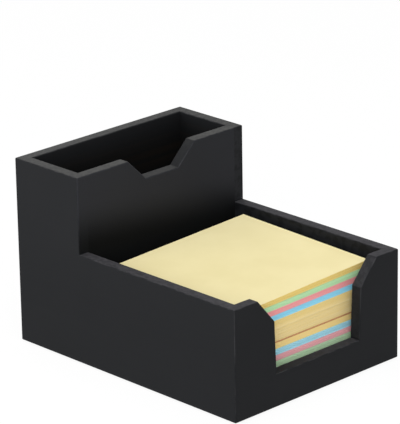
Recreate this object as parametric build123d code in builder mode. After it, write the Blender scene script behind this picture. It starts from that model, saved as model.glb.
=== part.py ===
"""Memo box: a square tray of note sheets in front, a tall open compartment across the back.

The box is glued up from painted boards with mitred corners. Millimetres, +Z up. The origin lies on the
desk under the middle of the box, and the tray faces -Y.
"""

import os

from build123d import *

os.makedirs("parts", exist_ok=True)

# Box, outside and clear sizes, heights measured from the underside of the boards
box_width = 100.0
wall = 5.5
tray_depth = 89.0
tall_depth = 29.5
tray_height = 50.5
tall_height = 85.5
base_thickness = 4.0
edge_round = 0.6

# Joinery
rabbet_depth = 2.5
base_fit = 0.1
housing_depth = 1.5
housing_stop = 6.0
housing_fit = 0.1

# Notch in the top edge of the divider between tray and tall compartment
divider_notch_top = 40.0
divider_notch_bottom = 19.5
divider_notch_depth = 10.0

# Finger notch in the front of the tray: sloped shoulders, then nearly upright sides down to a ledge
finger_notch_top = 72.0
finger_notch_shoulder = 52.5
finger_notch_bottom = 50.5
finger_notch_slope = 11.5
finger_ledge_height = 15.1

# Stick-on feet
foot_diameter = 10.0
foot_height = 1.0
foot_inset = 12.0
foot_round = 0.25

# Note sheets, counted in each colour, smaller than the tray by the room for a finger beside them
sheet_room = 13.0
sheet_caliper = 0.1
card_thickness = 0.8
gap_right = 3.1
gap_front = 4.5
upper_colour_count = 27
upper_plain_count = 100
lower_colour_count = 28
lower_green_count = 32
lower_plain_count = 70

# Levels above the desk
underside = foot_height
floor = underside + base_thickness
tray_top = underside + tray_height
tall_top = underside + tall_height
ledge = underside + finger_ledge_height
housing_top = tray_top - housing_stop

# Places across and along the box
inner_width = box_width - 2 * wall
box_depth = wall + tray_depth + wall + tall_depth + wall
right_x = box_width / 2
front_y = -box_depth / 2
back_y = box_depth / 2
tray_front_y = front_y + wall
divider_y = tray_front_y + tray_depth
tall_front_y = divider_y + wall
tray_middle_y = tray_front_y + tray_depth / 2
tall_middle_y = tall_front_y + tall_depth / 2
divider_middle_y = divider_y + wall / 2
soft_edge = min(edge_round, wall / 4)

# The whole glued and sanded body in one form, from which the boards are cut, so that their faces and
# softened edges run through every joint without a step
with BuildPart() as body_form:
    with BuildSketch(Plane.YZ):
        with BuildLine():
            Polyline(
                (front_y, underside),
                (back_y, underside),
                (back_y, tall_top),
                (divider_y, tall_top),
                (divider_y, tray_top),
                (front_y, tray_top),
                close=True,
            )
        make_face()
    extrude(amount=box_width / 2, both=True)
    with BuildSketch(Plane.XY.offset(floor)):
        with Locations((0, tray_middle_y)):
            Rectangle(inner_width, tray_depth)
        with Locations((0, tall_middle_y)):
            Rectangle(inner_width, tall_depth)
    extrude(amount=tall_height, mode=Mode.SUBTRACT)
    with BuildSketch(Plane.XZ.offset(-tall_front_y)):
        with BuildLine():
            Polyline(
                (-divider_notch_top / 2, tall_top),
                (-divider_notch_bottom / 2, tall_top - divider_notch_depth),
                (divider_notch_bottom / 2, tall_top - divider_notch_depth),
                (divider_notch_top / 2, tall_top),
                close=True,
            )
        make_face()
    extrude(amount=wall, mode=Mode.SUBTRACT)
    with BuildSketch(Plane.XZ.offset(-tray_front_y)):
        with BuildLine():
            Polyline(
                (-finger_notch_top / 2, tray_top),
                (-finger_notch_shoulder / 2, tray_top - finger_notch_slope),
                (-finger_notch_bottom / 2, ledge),
                (finger_notch_bottom / 2, ledge),
                (finger_notch_shoulder / 2, tray_top - finger_notch_slope),
                (finger_notch_top / 2, tray_top),
                close=True,
            )
        make_face()
    extrude(amount=wall, mode=Mode.SUBTRACT)
    outward_edges = body_form.edges().filter_by(lambda edge: not edge.is_interior)
    fillet(outward_edges, radius=soft_edge)


def base_plan(fit):
    """Plan of the base board in its rabbet, smaller all round by the fit."""
    reach = 2 * (rabbet_depth - fit)
    Rectangle(inner_width + reach, box_depth - 2 * wall + reach)


# Base board, let into a rabbet round the foot of the four outer boards
with BuildPart() as base_board:
    with BuildSketch(Plane.XY.offset(underside)):
        base_plan(base_fit)
    extrude(amount=base_thickness)
base_board.part.label = "base_board"
export_step(base_board.part, "parts/base_board.step")

# Side boards, stepped down from the tall compartment to the tray, each with a stopped housing for the
# divider
for side, name in ((-1, "left_side_panel"), (1, "right_side_panel")):
    with BuildPart() as side_panel:
        with BuildSketch(Plane.XY.offset(underside)):
            with BuildLine():
                Polyline(
                    (side * right_x, front_y),
                    (side * right_x, back_y),
                    (side * inner_width / 2, back_y - wall),
                    (side * inner_width / 2, tray_front_y),
                    close=True,
                )
            make_face()
        extrude(amount=tall_height)
        add(body_form.part, mode=Mode.INTERSECT)
        with BuildSketch(Plane.XY.offset(underside)):
            base_plan(0)
        extrude(amount=base_thickness, mode=Mode.SUBTRACT)
        with BuildSketch(Plane.XY.offset(floor)):
            with Locations((0, divider_middle_y)):
                Rectangle(inner_width + 2 * housing_depth, wall)
        extrude(amount=housing_top - floor, mode=Mode.SUBTRACT)
    side_panel.part.label = name
    export_step(side_panel.part, f"parts/{name}.step")

# Front board with the finger notch
with BuildPart() as front_panel:
    with BuildSketch(Plane.XY.offset(underside)):
        with BuildLine():
            Polyline(
                (-right_x, front_y),
                (right_x, front_y),
                (inner_width / 2, tray_front_y),
                (-inner_width / 2, tray_front_y),
                close=True,
            )
        make_face()
    extrude(amount=tray_height)
    add(body_form.part, mode=Mode.INTERSECT)
    with BuildSketch(Plane.XY.offset(underside)):
        base_plan(0)
    extrude(amount=base_thickness, mode=Mode.SUBTRACT)
front_panel.part.label = "front_panel"
export_step(front_panel.part, "parts/front_panel.step")

# Back board
with BuildPart() as back_panel:
    with BuildSketch(Plane.XY.offset(underside)):
        with BuildLine():
            Polyline(
                (-right_x, back_y),
                (right_x, back_y),
                (inner_width / 2, back_y - wall),
                (-inner_width / 2, back_y - wall),
                close=True,
            )
        make_face()
    extrude(amount=tall_height)
    add(body_form.part, mode=Mode.INTERSECT)
    with BuildSketch(Plane.XY.offset(underside)):
        base_plan(0)
    extrude(amount=base_thickness, mode=Mode.SUBTRACT)
back_panel.part.label = "back_panel"
export_step(back_panel.part, "parts/back_panel.step")

# Divider between tray and tall compartment: stands on the base board, butts between the sides, and has
# a short tongue at each end in their housings, out of sight below the tray's rim
with BuildPart() as divider_panel:
    with BuildSketch(Plane.XY.offset(floor)):
        with Locations((0, divider_middle_y)):
            Rectangle(inner_width, wall)
    extrude(amount=tall_top - floor)
    add(body_form.part, mode=Mode.INTERSECT)
    with BuildSketch(Plane.XY.offset(floor)):
        with Locations((0, divider_middle_y)):
            Rectangle(inner_width + 2 * (housing_depth - housing_fit), wall)
    extrude(amount=housing_top - housing_fit - floor)
divider_panel.part.label = "divider_panel"
export_step(divider_panel.part, "parts/divider_panel.step")

# Four feet stuck under the base board
foot_x = right_x - foot_inset
foot_y = back_y - foot_inset
foot_places = {
    "foot_front_left": (-foot_x, -foot_y),
    "foot_front_right": (foot_x, -foot_y),
    "foot_back_left": (-foot_x, foot_y),
    "foot_back_right": (foot_x, foot_y),
}
for name, place in foot_places.items():
    with BuildPart() as foot:
        with BuildSketch(Plane.XY):
            with Locations(place):
                Circle(foot_diameter / 2)
        extrude(amount=foot_height)
        lower_rim = foot.edges().sort_by(Axis.Z)[0]
        fillet(lower_rim, radius=min(foot_round, foot_height / 3))
    foot.part.label = name
    export_step(foot.part, f"parts/{name}.step")

# Two blocks of loose note sheets, each on a backing card. The square sheets lie nearer the right
# and front walls of the tray, and each colour is a piece of its own.
sheet_width = inner_width - sheet_room
sheet_length = tray_depth - sheet_room
sheet_x = inner_width / 2 - gap_right - sheet_width / 2
sheet_y = tray_front_y + gap_front + sheet_length / 2
lower_colour = lower_colour_count * sheet_caliper
lower_green = lower_green_count * sheet_caliper
lower_plain = lower_plain_count * sheet_caliper
upper_colour = upper_colour_count * sheet_caliper
upper_plain = upper_plain_count * sheet_caliper
sheet_layers = (
    ("lower_backing_card", card_thickness),
    ("lower_plain_sheets", lower_plain),
    ("lower_green_sheets", lower_green),
    ("lower_pink_sheets", lower_colour),
    ("lower_blue_sheets", lower_colour),
    ("lower_yellow_sheets", lower_colour),
    ("upper_backing_card", card_thickness),
    ("upper_plain_sheets", upper_plain),
    ("upper_blue_sheets", upper_colour),
    ("upper_pink_sheets", upper_colour),
    ("upper_green_sheets", upper_colour),
    ("upper_yellow_sheets", upper_colour),
)
level = floor
for name, thickness in sheet_layers:
    with BuildPart() as layer:
        with BuildSketch(Plane.XY.offset(level)):
            with Locations((sheet_x, sheet_y)):
                Rectangle(sheet_width, sheet_length)
        extrude(amount=thickness)
    layer.part.label = name
    export_step(layer.part, f"parts/{name}.step")
    level += thickness
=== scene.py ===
"""The memo box dressed for its picture: black painted boards, foam feet and two blocks of note sheets.

Everything is in metres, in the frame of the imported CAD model: the box stands on z = 0, its tray faces -Y.
"""

import math
import random

import bmesh
import bpy
from mathutils import Color, Matrix, Vector


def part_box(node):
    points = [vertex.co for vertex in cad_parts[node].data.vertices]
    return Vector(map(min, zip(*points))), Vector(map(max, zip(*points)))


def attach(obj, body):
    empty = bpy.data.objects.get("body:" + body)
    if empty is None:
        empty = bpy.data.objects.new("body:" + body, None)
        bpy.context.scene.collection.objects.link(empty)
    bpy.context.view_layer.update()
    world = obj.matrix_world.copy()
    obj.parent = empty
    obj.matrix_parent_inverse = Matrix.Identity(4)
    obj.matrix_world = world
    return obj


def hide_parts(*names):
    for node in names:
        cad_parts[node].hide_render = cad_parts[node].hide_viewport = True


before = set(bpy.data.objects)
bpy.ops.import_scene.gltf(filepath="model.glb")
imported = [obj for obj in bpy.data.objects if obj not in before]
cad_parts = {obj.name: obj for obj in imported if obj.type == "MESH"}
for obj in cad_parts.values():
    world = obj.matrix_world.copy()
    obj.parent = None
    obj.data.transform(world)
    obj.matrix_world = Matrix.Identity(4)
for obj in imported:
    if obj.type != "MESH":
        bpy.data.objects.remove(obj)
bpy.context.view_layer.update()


# Painted boards
# Six boards of dense fibreboard, glued up with mitred corners, filled, sanded and sprayed black. The spray
# lies satin on the outside, where painted light lightens it towards the top. Deep in the two compartments
# the paint is dull, and painted shade darkens it there.
class Shade:
    """A value or colour in a material. Arithmetic on it adds Math nodes, and node() adds any other node."""

    def __init__(self, tree, socket=None):
        self.tree = tree
        self.socket = socket

    def node(self, kind, settings=(), inputs=(), output=0):
        """Adds a node: its settings are set first, then the values or links of its sockets."""
        added = self.tree.nodes.new(kind)
        for name, value in dict(settings).items():
            setattr(added, name, value)
        for name, value in dict(inputs).items():
            if isinstance(value, Shade):
                self.tree.links.new(value.socket, added.inputs[name])
            else:
                added.inputs[name].default_value = value
        return Shade(self.tree, added.outputs[output]) if added.outputs else None

    def math(self, operation, *values):
        return self.node("ShaderNodeMath", {"operation": operation}, enumerate(values))

    def __add__(self, other):
        return self.math("ADD", self, other)

    def __sub__(self, other):
        return self.math("SUBTRACT", self, other)

    def __rsub__(self, other):
        return self.math("SUBTRACT", other, self)

    def __mul__(self, other):
        return self.math("MULTIPLY", self, other)

    def __truediv__(self, other):
        return self.math("DIVIDE", self, other)

    __radd__ = __add__
    __rmul__ = __mul__

    def above(self, limit):
        """1 where this value is above a limit, and 0 elsewhere."""
        return self.math("GREATER_THAN", self, limit)

    def below(self, limit):
        """1 where this value is below a limit, and 0 elsewhere."""
        return self.math("LESS_THAN", self, limit)

    def rise(self, start, end):
        """0 where this value is at start, 1 where it is at end, and a soft step between them."""
        return self.node(
            "ShaderNodeMapRange",
            {"interpolation_type": "SMOOTHSTEP"},
            {"Value": self, "From Min": start, "From Max": end},
        )

    def blend(self, first, second):
        """The first colour where this value is 0, the second where it is 1."""
        colours = {"Factor": self, 6: first, 7: second}
        return self.node("ShaderNodeMix", {"data_type": "RGBA"}, colours, output=2)

    def along(self, axis):
        """One coordinate of this place or direction."""
        return self.node("ShaderNodeSeparateXYZ", (), {0: self}, output=axis)

    def stretched(self, scale):
        """This place, stretched by a scale along each axis."""
        return self.node("ShaderNodeMapping", (), {"Vector": self, "Scale": scale})

    def noise(self, scale, detail):
        """Soft noise at this place, with so many grains to the metre."""
        return self.node("ShaderNodeTexNoise", (), {"Vector": self, "Scale": scale, "Detail": detail})

    def relief(self, strength, distance, coarser=None):
        """Bumps that stand up where this value is high, laid over a coarser relief where there is one."""
        inputs = {"Strength": strength, "Distance": distance, "Height": self}
        if coarser:
            inputs["Normal"] = coarser
        return self.node("ShaderNodeBump", (), inputs)


def colour(red, green, blue):
    """The colour that a screen shows for these values from 0 to 255."""
    linear = Color((red / 255, green / 255, blue / 255)).from_srgb_to_scene_linear()
    return (*linear, 1.0)


def new_material(name):
    """An empty material, and the start of its nodes."""
    material = bpy.data.materials.new(name)
    material.use_nodes = True
    material.node_tree.nodes.clear()
    return material, Shade(material.node_tree)


x_axis, y_axis, z_axis = range(3)
front_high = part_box("front_panel")[1]
divider_low, divider_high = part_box("divider_panel")
back_low, back_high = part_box("back_panel")
inner_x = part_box("right_side_panel")[0].x
notch_reach = 0.036
ledge_height = 0.0161
skin = 0.0003

# Colours of the paint: outside, lighter towards the top as painted light; inside the tray, lighter copies as
# painted light;
# in painted shade deep inside; on sawn edges, as painted highlight; and where hands have thinned it, with
# painted highlight
paint_outside = colour(24, 25, 27)
paint_outside_lit_top = colour(28, 29, 31)
# The tray's paint colours are lighter copies of the black paint, painted light, that darken from left to
# right
tray_paint_lit_left = colour(40, 41, 45)
tray_paint_lit_right = colour(35, 36, 40)
right_wall_paint_lit = colour(30, 31, 34)
paint_in_tall = colour(17, 13, 10)
paint_deep_shade = colour(7, 8, 8)
paint_edge_highlight = colour(69, 68, 71)
paint_edge_highlight_high = colour(68, 68, 67)
paint_rubbed_and_lit = colour(62, 62, 64)
paint_shine = 0.08

# Strengths of wear and of painted highlight and shade on the edges, from 0 for none to 1 for all the paint,
# and where they begin and are full
edge_wear = 0.25
upper_edge_highlight = 0.35
front_corner_highlight_share = 0.3
front_corner_highlight_heights = (0.024, 0.034)
notch_side_wear_and_light = 0.2
notch_slope_wear_and_light = 0.4
ledge_light_share = 0.85
ledge_light_places = (-0.026, 0.02)
divider_notch_shade_depth = 0.545

# Heights against the rim of the tray or of the tall compartment, between which the paint turns dull and
# darker with painted shade
tray_shade_heights = (0.0185, -0.0025)
tray_shade_slope = 0.1
tall_shade_heights = (0.004, -0.016)
mottle_heights = (-0.018, -0.007)

# Heights above the desk between which painted light lightens the outside paint, and how far from the middle
# the tray's shading ends
outside_light_heights = (0.035, 0.093)
outside_light_slope = 0.3
shading_reach = 0.045

# Streaks of the sanded board, counted to the metre
streaks_across_grain = 420.0
streaks_along_grain = 9.0


def painted_board(
    name,
    grain_axis,
    thickness_axis,
    edge_highlight,
    front_shade_and_dullness=1.0,
    back_shade_and_dullness=1.0,
    right_paint_lit=tray_paint_lit_right,
    patchiness=0.0,
):
    """Black paint on one board, whose grain runs along one axis and whose broad faces look along another.

    After the axes comes the strength of the painted highlight on the sawn edges that look up. The two
    numbers for the tray's front and back say how dull the paint lies deep in the tray and how dark its
    painted shade is. Inside the tray the paint is a lighter copy, painted light, that shades to the right
    into its colour for the right, and patchiness says how strongly it is mottled under the rim.
    """
    material, start = new_material(name)
    place = start.node("ShaderNodeTexCoord", output="Object")
    x, y, z = (place.along(axis) for axis in range(3))
    normal = start.node("ShaderNodeNewGeometry", output="Normal")
    upward = normal.along(z_axis)

    # Where a place lies: inside the tray or on the step above it, or inside the tall compartment
    beside = start.math("ABSOLUTE", x)
    between_sides = beside.below(inner_x + skin)
    over_tray = start.math("MAXIMUM", between_sides, z.above(front_high.z + skin))
    in_tray = y.above(front_high.y - skin) * y.below(divider_low.y + skin) * over_tray
    in_tall = y.above(divider_high.y - skin) * y.below(back_low.y + skin) * between_sides

    # The sawn edges that look up are painted lighter, a painted highlight, and they are duller than the
    # broad faces
    facing = normal.along(thickness_axis)
    squared = facing * facing
    narrow = 1 - squared.rise(0.1, 0.6)
    cut_highlight = narrow * upward.rise(0.65, 0.95)
    dullness = 0.24 - 0.14 * z.rise(back_high.z - 0.004, back_high.z - 0.001)

    # Rounded edges catch hands first, and their paint is rubbed thin in patches. On edges that look up it is
    # lighter still, a painted highlight, and on the upper half of the upright edges in front it is an even
    # painted highlight
    rounding = squared * (1 - squared) * 4
    patches = place.noise(260, 4).rise(0.42, 0.66)
    on_top = upward.rise(0.05, 0.4)
    front_corner_highlight = z.rise(*front_corner_highlight_heights) * y.below(front_high.y) * (1 - on_top)
    wear_and_highlight = patches * (edge_wear + upper_edge_highlight * on_top) + front_corner_highlight * front_corner_highlight_share
    rubbed_and_lit = rounding.rise(0.25, 0.9) * wear_and_highlight

    # The inside of the finger notch takes the lighter paint too, partly wear from pulling out sheets and
    # partly painted
    # light: its slopes most, and its ledge more towards the right, the left of the ledge staying darker as
    # painted shade
    in_notch = y.below(front_high.y + skin) * beside.rise(notch_reach + 0.001, notch_reach - 0.001)
    above_ledge = z.rise(ledge_height + 0.0005, ledge_height + 0.001)
    notch_wear_and_light = narrow * in_notch * above_ledge * (notch_side_wear_and_light + notch_slope_wear_and_light * upward.rise(0.2, 0.5))
    ledge_shade = in_notch * (1 - above_ledge) * (1 - ledge_light_share * x.rise(*ledge_light_places))
    cut_highlight = start.math("MAXIMUM", cut_highlight * (1 - ledge_shade), notch_wear_and_light)

    # At the bottom of the divider's notch the lighter paint is held back, a painted shade, so it stays
    # darker than the rims
    divider_notch_shade = y.above(divider_low.y - skin) * z.rise(back_high.z - 0.001, back_high.z - 0.004)
    cut_highlight = cut_highlight * (1 - divider_notch_shade_depth * divider_notch_shade)

    # The painted highlight on the sawn edges is broken up by noise, and each board sets its own strength
    cut_highlight = cut_highlight * edge_highlight * (0.5 + 0.5 * place.noise(500, 3).rise(0.4, 0.6))

    # Deep in the tray and in the tall compartment the paint is dull, and painted shade darkens its colour.
    # In the tray that painted shade reaches higher up on the left
    tray_depth = (z + tray_shade_slope * x - front_high.z).rise(*tray_shade_heights)
    tray_shade_and_dullness = front_shade_and_dullness + y.rise(front_high.y, divider_low.y) * (back_shade_and_dullness - front_shade_and_dullness)
    tall_depth = (z - back_high.z).rise(*tall_shade_heights)
    shade_and_dullness = in_tray * tray_depth * tray_shade_and_dullness + in_tall * tall_depth

    # Sanded board shows faintly through the paint as long streaks, under the fine skin of the spray
    streak_scale = [streaks_across_grain] * 3
    streak_scale[grain_axis] = streaks_along_grain
    streaks = place.stretched(streak_scale).noise(1.0, 5)
    smudges = place.noise(38, 4)
    spray_relief = place.noise(1500, 3).relief(0.25, 0.00006)
    paint_relief = streaks.relief(0.3, 0.00008, spray_relief)

    # Painted light makes the outside a little lighter towards the top of the box and on its left. Inside the
    # tray the paint is a lighter copy, painted light, that darkens from left to right, and it is mottled
    # under the rim
    outside = (z - outside_light_slope * x).rise(*outside_light_heights).blend(paint_outside, paint_outside_lit_top)
    inside = x.rise(-shading_reach, shading_reach).blend(tray_paint_lit_left, right_paint_lit)
    mottle = place.stretched((380.0, 260.0, 380.0)).noise(1.0, 3).rise(0.45, 0.6)
    mottle = mottle * (z - front_high.z).rise(*mottle_heights)
    coat = in_tray.blend(outside, (mottle * patchiness).blend(inside, paint_deep_shade))
    highlight_paint = z.rise(front_high.z, back_high.z - 0.01).blend(paint_edge_highlight, paint_edge_highlight_high)
    satin = start.node(
        "ShaderNodeBsdfPrincipled",
        (),
        {
            "Base Color": rubbed_and_lit.blend(cut_highlight.blend(coat, highlight_paint), paint_rubbed_and_lit),
            "Roughness": 0.46 + smudges * 0.12 + streaks * 0.06 + cut_highlight * dullness - rubbed_and_lit * 0.1,
            "Specular IOR Level": paint_shine,
            "Normal": paint_relief,
        },
    )
    dull_shaded = start.node(
        "ShaderNodeBsdfPrincipled",
        (),
        {
            "Base Color": (streaks.rise(0.35, 0.75) * in_tall).blend(paint_deep_shade, paint_in_tall),
            "Roughness": 0.72 + smudges * 0.16,
            "Specular IOR Level": paint_shine,
            "Normal": paint_relief,
        },
    )
    surface = start.node("ShaderNodeMixShader", (), {"Fac": shade_and_dullness, 1: satin, 2: dull_shaded})
    start.node("ShaderNodeOutputMaterial", (), {"Surface": surface})
    return material


# For each board: the strength of its painted highlight, how dull and darkly shaded its tray paint is at
# front and back, and for the right side the painted light colour of its tray paint and its mottle
board_finishes = {
    "base_board": dict(grain_axis=x_axis, thickness_axis=z_axis, edge_highlight=0.85),
    "left_side_panel": dict(
        grain_axis=y_axis, thickness_axis=x_axis, edge_highlight=0.85, front_shade_and_dullness=0.9, back_shade_and_dullness=0.9
    ),
    "right_side_panel": dict(
        grain_axis=y_axis,
        thickness_axis=x_axis,
        edge_highlight=0.83,
        front_shade_and_dullness=0.45,
        back_shade_and_dullness=0.0,
        right_paint_lit=right_wall_paint_lit,
        patchiness=0.5,
    ),
    "front_panel": dict(
        grain_axis=x_axis, thickness_axis=y_axis, edge_highlight=0.67, front_shade_and_dullness=0.5, back_shade_and_dullness=0.5
    ),
    "divider_panel": dict(grain_axis=x_axis, thickness_axis=y_axis, edge_highlight=1.18),
    "back_panel": dict(grain_axis=x_axis, thickness_axis=y_axis, edge_highlight=0.85),
}
for board, settings in board_finishes.items():
    board_finish = painted_board("paint_" + board, **settings)
    for material_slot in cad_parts[board].material_slots:
        material_slot.material = board_finish


# Feet
# Four round pads of black foam rubber, stuck under the base board so that the paint doesn't touch the desk.
# Their skin has fine open pores.
foam, start = new_material("foot_foam")
place = start.node("ShaderNodeTexCoord", output="Object")
pores = place.noise(900, 3)
cells = start.node("ShaderNodeTexVoronoi", (), {"Vector": place, "Scale": 3200.0}, output="Distance")
foam_surface = start.node(
    "ShaderNodeBsdfPrincipled",
    (),
    {
        "Base Color": pores.rise(0.3, 0.7).blend(colour(24, 24, 25), colour(40, 40, 41)),
        "Roughness": 0.8 + pores * 0.15,
        "Specular IOR Level": 0.3,
        "Normal": cells.relief(0.5, 0.0001),
    },
)
start.node("ShaderNodeOutputMaterial", (), {"Surface": foam_surface})
for foot in ("foot_front_left", "foot_front_right", "foot_back_left", "foot_back_right"):
    for material_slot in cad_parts[foot].material_slots:
        material_slot.material = foam


# Note sheets
# Loose square sheets of tinted, uncoated paper, guillotined in one cut, so that their edges lie almost in
# one plane. Each sheet is a thin leaf of its own, a hair out of line with its neighbours.
sheet_pitch = 0.0001
leaf_thickness = 0.96 * sheet_pitch
slip = 0.00004
turn = math.radians(0.03)
dealer = random.Random(7)

# How much a leaf's own tone counts beside the bands from the knife, and how much and between which heights
# the plain sheets deepen
leaf_share = 0.75
deeper_share = 0.85
deeper_heights = (0.0318, 0.0330)

# The stack lies a little open: its sheets rise towards the right and the back, the upper ones most
rise_right = 0.035
rise_back = 0.026
stack_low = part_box("lower_backing_card")[0]
stack_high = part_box("upper_yellow_sheets")[1]
stack_middle = (stack_low + stack_high) / 2
stack_thickness = stack_high.z - stack_low.z


def lifted(x, y, z):
    """How far the open stack lifts a place in it. The place is in numbers, or in shades in a material."""
    level = (z - stack_low.z) / stack_thickness
    return level * level * level * ((x - stack_middle.x) * rise_right + (y - stack_middle.y) * rise_back)


def lie_open(mesh):
    """Lifts flat sheets to where they lie in the open stack."""
    for corner in mesh.verts:
        corner.co.z += lifted(*corner.co)


def paper_face(name, tint, pale_tint):
    """The flat side of a sheet: faint clouds and the tooth of uncoated paper, with painted light making it
    paler at the back right.
    """
    material, start = new_material(name + "_face")
    place = start.node("ShaderNodeTexCoord", output="Object")
    clouds = place.noise(70, 5).rise(0.3, 0.7)
    painted_light_back_right = (place.along(y_axis) + 0.5 * place.along(x_axis)).rise(-0.03, 0.035)
    fibres = place.noise(2600, 4)
    surface = start.node(
        "ShaderNodeBsdfPrincipled",
        (),
        {
            "Base Color": (clouds * 0.3 + painted_light_back_right * 0.35).blend(tint, pale_tint),
            "Roughness": 0.86 + fibres * 0.1,
            "Specular IOR Level": 0.2,
            "Normal": fibres.relief(0.35, 0.00004),
        },
    )
    start.node("ShaderNodeOutputMaterial", (), {"Surface": surface})
    return material


def paper_edge(name, tint, dark_tint, deepens):
    """The cut edges of a stack, leaf by leaf a little lighter or darker, with slow bands from the knife.

    Where the paper deepens, it keeps to its dark tint above a level in the upper block.
    """
    material, start = new_material(name + "_edge")
    place = start.node("ShaderNodeTexCoord", output="Object")
    x, y, z = (place.along(axis) for axis in range(3))
    height = z - lifted(x, y, z)
    flat_place = start.node("ShaderNodeCombineXYZ", (), {0: x, 1: y, 2: height})
    leaf = start.math("FLOOR", height / sheet_pitch)
    tone = start.node("ShaderNodeTexWhiteNoise", {"noise_dimensions": "1D"}, {"W": leaf})
    bands = flat_place.stretched((14.0, 14.0, 1500.0)).noise(1.0, 3).rise(0.1, 0.9)
    lightness = tone * leaf_share + bands * (1 - leaf_share)
    if deepens:
        lightness = lightness * (1 - deeper_share * height.rise(*deeper_heights))
    surface = start.node(
        "ShaderNodeBsdfPrincipled",
        (),
        {
            "Base Color": lightness.blend(dark_tint, tint),
            "Roughness": 0.9,
            "Specular IOR Level": 0.15,
        },
    )
    start.node("ShaderNodeOutputMaterial", (), {"Surface": surface})
    return material


def replace_node(node, suffix, mesh, materials, body):
    """Makes a piece of a mesh in place of a CAD node, on a body."""
    data = bpy.data.meshes.new(node)
    mesh.to_mesh(data)
    mesh.free()
    for material in materials:
        data.materials.append(material)
    piece = bpy.data.objects.new(node + suffix, data)
    bpy.context.scene.collection.objects.link(piece)
    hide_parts(node)
    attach(piece, body)


def stack_of_sheets(node, body, slot, face, edge):
    """Deals the sheets of one colour into the space of their CAD node."""
    low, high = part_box(node)
    middle = (low + high) / 2
    count = round((high.z - low.z) / sheet_pitch)
    size = Matrix.Diagonal((high.x - low.x, high.y - low.y, leaf_thickness, 1))
    mesh = bmesh.new()
    for number in range(count):
        shift = Vector((dealer.gauss(0, slip), dealer.gauss(0, slip), 0))
        centre = Vector((middle.x, middle.y, low.z + (number + 0.5) * sheet_pitch)) + shift
        placed = Matrix.Translation(centre) @ Matrix.Rotation(dealer.gauss(0, turn), 4, "Z") @ size
        bmesh.ops.create_cube(mesh, size=1, matrix=placed)
    lie_open(mesh)
    mesh.normal_update()
    for flat in mesh.faces:
        flat.material_index = 0 if abs(flat.normal.z) > 0.5 else 1
    replace_node(node, "_stack", mesh, (face, edge), body)


# The tint of each paper's flat side, and its paler tint
flat_tints = {
    "yellow": ((235, 222, 169), (246, 234, 185)),
    "green": ((196, 230, 190), (204, 235, 198)),
    "pink": ((240, 176, 180), (244, 186, 190)),
    "blue": ((164, 214, 236), (174, 220, 240)),
}
# The tint of its cut edges, and their dark tint. The lower block's tints are lighter copies, painted light
# against the shade it lies in
cut_tints = {
    "yellow": ((252, 226, 154), (246, 215, 140)),
    "top_yellow": ((238, 211, 127), (227, 197, 110)),
    "plain": ((241, 221, 172), (238, 212, 140)),
    "green": ((199, 236, 189), (180, 219, 171)),
    "pale_green": ((209, 236, 200), (190, 219, 182)),
    "pink": ((246, 168, 168), (231, 150, 152)),
    "pale_pink": ((255, 199, 203), (247, 181, 187)),
    "blue": ((156, 228, 248), (142, 212, 235)),
    "pale_blue": ((185, 240, 249), (173, 224, 238)),
}
blocks = {
    "lower_block": ("plain", "pale_green", "pale_pink", "pale_blue", "yellow"),
    "upper_block": ("plain", "blue", "pink", "green", "top_yellow"),
}


def paper_of(tint):
    """The paper that a tint belongs to. The plain sheets are of the yellow paper."""
    last_word = tint.split("_")[-1]
    return "yellow" if last_word == "plain" else last_word


paper_finishes = {}
for tint, (cut_tint, dark_tint) in cut_tints.items():
    flat_tint, pale_tint = flat_tints[paper_of(tint)]
    face = paper_face(tint + "_paper", colour(*flat_tint), colour(*pale_tint))
    edge = paper_edge(tint + "_paper", colour(*cut_tint), colour(*dark_tint), tint == "plain")
    paper_finishes[tint] = (face, edge)
for body, tints in blocks.items():
    for tint in tints:
        node = body.replace("block", tint.split("_")[-1] + "_sheets")
        stack_of_sheets(node, body, paper_of(tint) + "_paper", *paper_finishes[tint])


# Backing cards
# One square of stiff grey-brown card under each block, made of waste paper, with flecks of it in sight.
# It is cut with the sheets, and its edges are hardly rounded.
card_edge_round = 0.00008
card_finish, start = new_material("backing_card")
place = start.node("ShaderNodeTexCoord", output="Object")
flecks = place.noise(1400, 6)
mottle = place.noise(120, 4)
card_tint = (mottle * 0.4 + flecks.rise(0.35, 0.7) * 0.6).blend(colour(184, 128, 84), colour(214, 156, 108))
card_surface = start.node(
    "ShaderNodeBsdfPrincipled",
    (),
    {
        "Base Color": card_tint,
        "Roughness": 0.85 + flecks * 0.1,
        "Specular IOR Level": 0.2,
        "Normal": flecks.relief(0.5, 0.00006),
    },
)
start.node("ShaderNodeOutputMaterial", (), {"Surface": card_surface})
for body in blocks:
    node = body.replace("block", "backing_card")
    low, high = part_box(node)
    size = Matrix.Diagonal((*(high - low), 1))
    mesh = bmesh.new()
    bmesh.ops.create_cube(mesh, size=1, matrix=Matrix.Translation((low + high) / 2) @ size)
    bmesh.ops.bevel(
        mesh,
        geom=mesh.edges[:],
        offset=card_edge_round,
        affect="EDGES",
        segments=2,
        profile=0.5,
        material=-1,
    )
    lie_open(mesh)
    replace_node(node, "_leaf", mesh, (card_finish,), body)


# Floor and backdrop
# A plain white sweep of paper. To the camera and in reflections it is white, but it keeps a little of the
# light that falls on it, and so the box's shadow.
floor_size = 6
floor_light = 0.1
floor_glow = 1.03
sky_strength = 0.27


def seen_rays(start):
    """1 for rays that see the backdrop, also in gloss and glass, and 0 for those that only light the box."""
    kinds = ("Is Camera Ray", "Is Glossy Ray", "Is Transmission Ray")
    return sum(start.node("ShaderNodeLightPath", output=kind) for kind in kinds)


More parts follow.
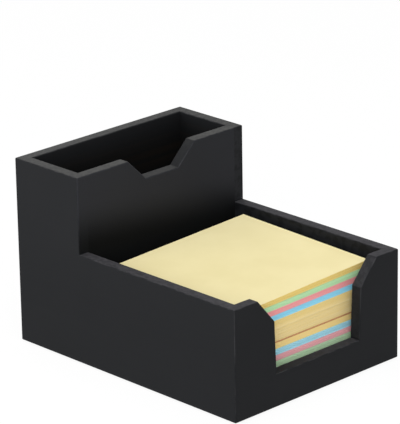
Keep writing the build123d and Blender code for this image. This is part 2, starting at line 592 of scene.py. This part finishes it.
floor_mesh = bmesh.new()
bmesh.ops.create_grid(floor_mesh, x_segments=1, y_segments=1, size=floor_size)
floor_data = bpy.data.meshes.new("floor")
floor_mesh.to_mesh(floor_data)
floor_mesh.free()
floor = bpy.data.objects.new("floor", floor_data)
bpy.context.scene.collection.objects.link(floor)
floor_finish, start = new_material("white_floor")
lit = start.node("ShaderNodeBsdfDiffuse", (), {"Color": (0.8, 0.8, 0.8, 1)})
white = start.node("ShaderNodeEmission", (), {"Strength": floor_glow})
whiteness = seen_rays(start) * (1 - floor_light)
floor_surface = start.node("ShaderNodeMixShader", (), {"Fac": whiteness, 1: lit, 2: white})
start.node("ShaderNodeOutputMaterial", (), {"Surface": floor_surface})
floor_data.materials.append(floor_finish)

world = bpy.data.worlds.new("white_studio")
bpy.context.scene.world = world
world.use_nodes = True
world.node_tree.nodes.clear()
start = Shade(world.node_tree)
sky = start.node("ShaderNodeBackground", (), {"Color": (1, 1, 1, 1), "Strength": sky_strength})
backdrop = start.node("ShaderNodeBackground", (), {"Color": (1, 1, 1, 1), "Strength": 1.0})
sky_or_backdrop = start.node("ShaderNodeMixShader", (), {"Fac": seen_rays(start), 1: sky, 2: backdrop})
start.node("ShaderNodeOutputWorld", (), {"Surface": sky_or_backdrop})


# Lamps
# Broad soft boxes: the strongest in front on the left, one overhead and one low on the left about as strong
# as each other, and a weak one behind on the right.
lamp_target = Vector((0, 0, 0.04))


def soft_box(name, place, width, power):
    """A square lamp at a place, aimed at the middle of the box."""
    lamp = bpy.data.objects.new(name, bpy.data.lights.new(name, "AREA"))
    lamp.data.size = width
    lamp.data.energy = power
    aim = lamp_target - Vector(place)
    lamp.matrix_world = Matrix.Translation(place) @ aim.to_track_quat("-Z", "Y").to_matrix().to_4x4()
    bpy.context.scene.collection.objects.link(lamp)


soft_box("front_left_lamp", (-1.2, -1.15, 0.9), 1.0, 20.5)
soft_box("overhead_lamp", (-0.2, -0.3, 1.6), 1.5, 13.5)
soft_box("back_lamp", (0.8, 1.75, 0.8), 1.0, 6.0)
soft_box("low_left_lamp", (-1.7, 0.6, 0.5), 1.0, 13.0)


# Camera
# A long lens more than a metre away, looking down on the front left corner of the box.
view_turn = math.radians(-43.931)
view_height = math.radians(19.790)
view_tilt = math.radians(-0.987)
view_distance = 1.32
view_middle = Vector((0.00511, 0.00888, 0.06126))
camera = bpy.data.objects.new("camera", bpy.data.cameras.new("camera"))
camera.data.sensor_width = 36.0
camera.data.lens = 256.27
camera.matrix_world = (
    Matrix.Translation(view_middle)
    @ Matrix.Rotation(view_turn, 4, "Z")
    @ Matrix.Rotation(math.pi / 2 - view_height, 4, "X")
    @ Matrix.Translation((0, 0, view_distance))
    @ Matrix.Rotation(view_tilt, 4, "Z")
)
bpy.context.scene.collection.objects.link(camera)
bpy.context.scene.camera = camera
bpy.context.scene.view_settings.view_transform = "Standard"
